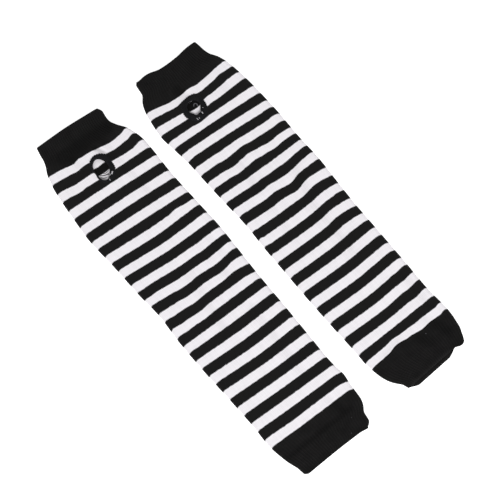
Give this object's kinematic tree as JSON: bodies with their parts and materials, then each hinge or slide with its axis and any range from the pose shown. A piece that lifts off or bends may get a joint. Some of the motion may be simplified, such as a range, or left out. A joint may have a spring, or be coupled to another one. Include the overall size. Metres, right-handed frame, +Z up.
{
  "type": "pair of long fingerless gloves",
  "caption": "Pair of long fingerless knitted gloves laid flat side by side: striped jersey tubes with black ribbed cuffs at hand and forearm and a bound thumb hole in each.",
  "frame": {"origin": "centre of the pair's footprint, on the surface that it lies on", "axes": "+Y along the gloves towards their hand ends, +X across from the left glove to the right one, +Z up out of the surface"},
  "size_m": [0.1764, 0.3336, 0.0051],
  "materials": {
    "black_rib_knit": "matt ribbed knit",
    "striped_jersey": "matt fine jersey in even black and white stripes",
    "black_overlock_yarn": "matt overlocked yarn"
  },
  "bodies": {
    "root": {"left_hand_cuff": "black_rib_knit", "left_hand_tube": "striped_jersey", "left_forearm_tube": "striped_jersey", "left_arm_cuff": "black_rib_knit", "left_thumb_edging": "black_overlock_yarn", "right_hand_cuff": "black_rib_knit", "right_hand_tube": "striped_jersey", "right_forearm_tube": "striped_jersey", "right_arm_cuff": "black_rib_knit", "right_thumb_edging": "black_overlock_yarn"}
  },
  "joints": []
}
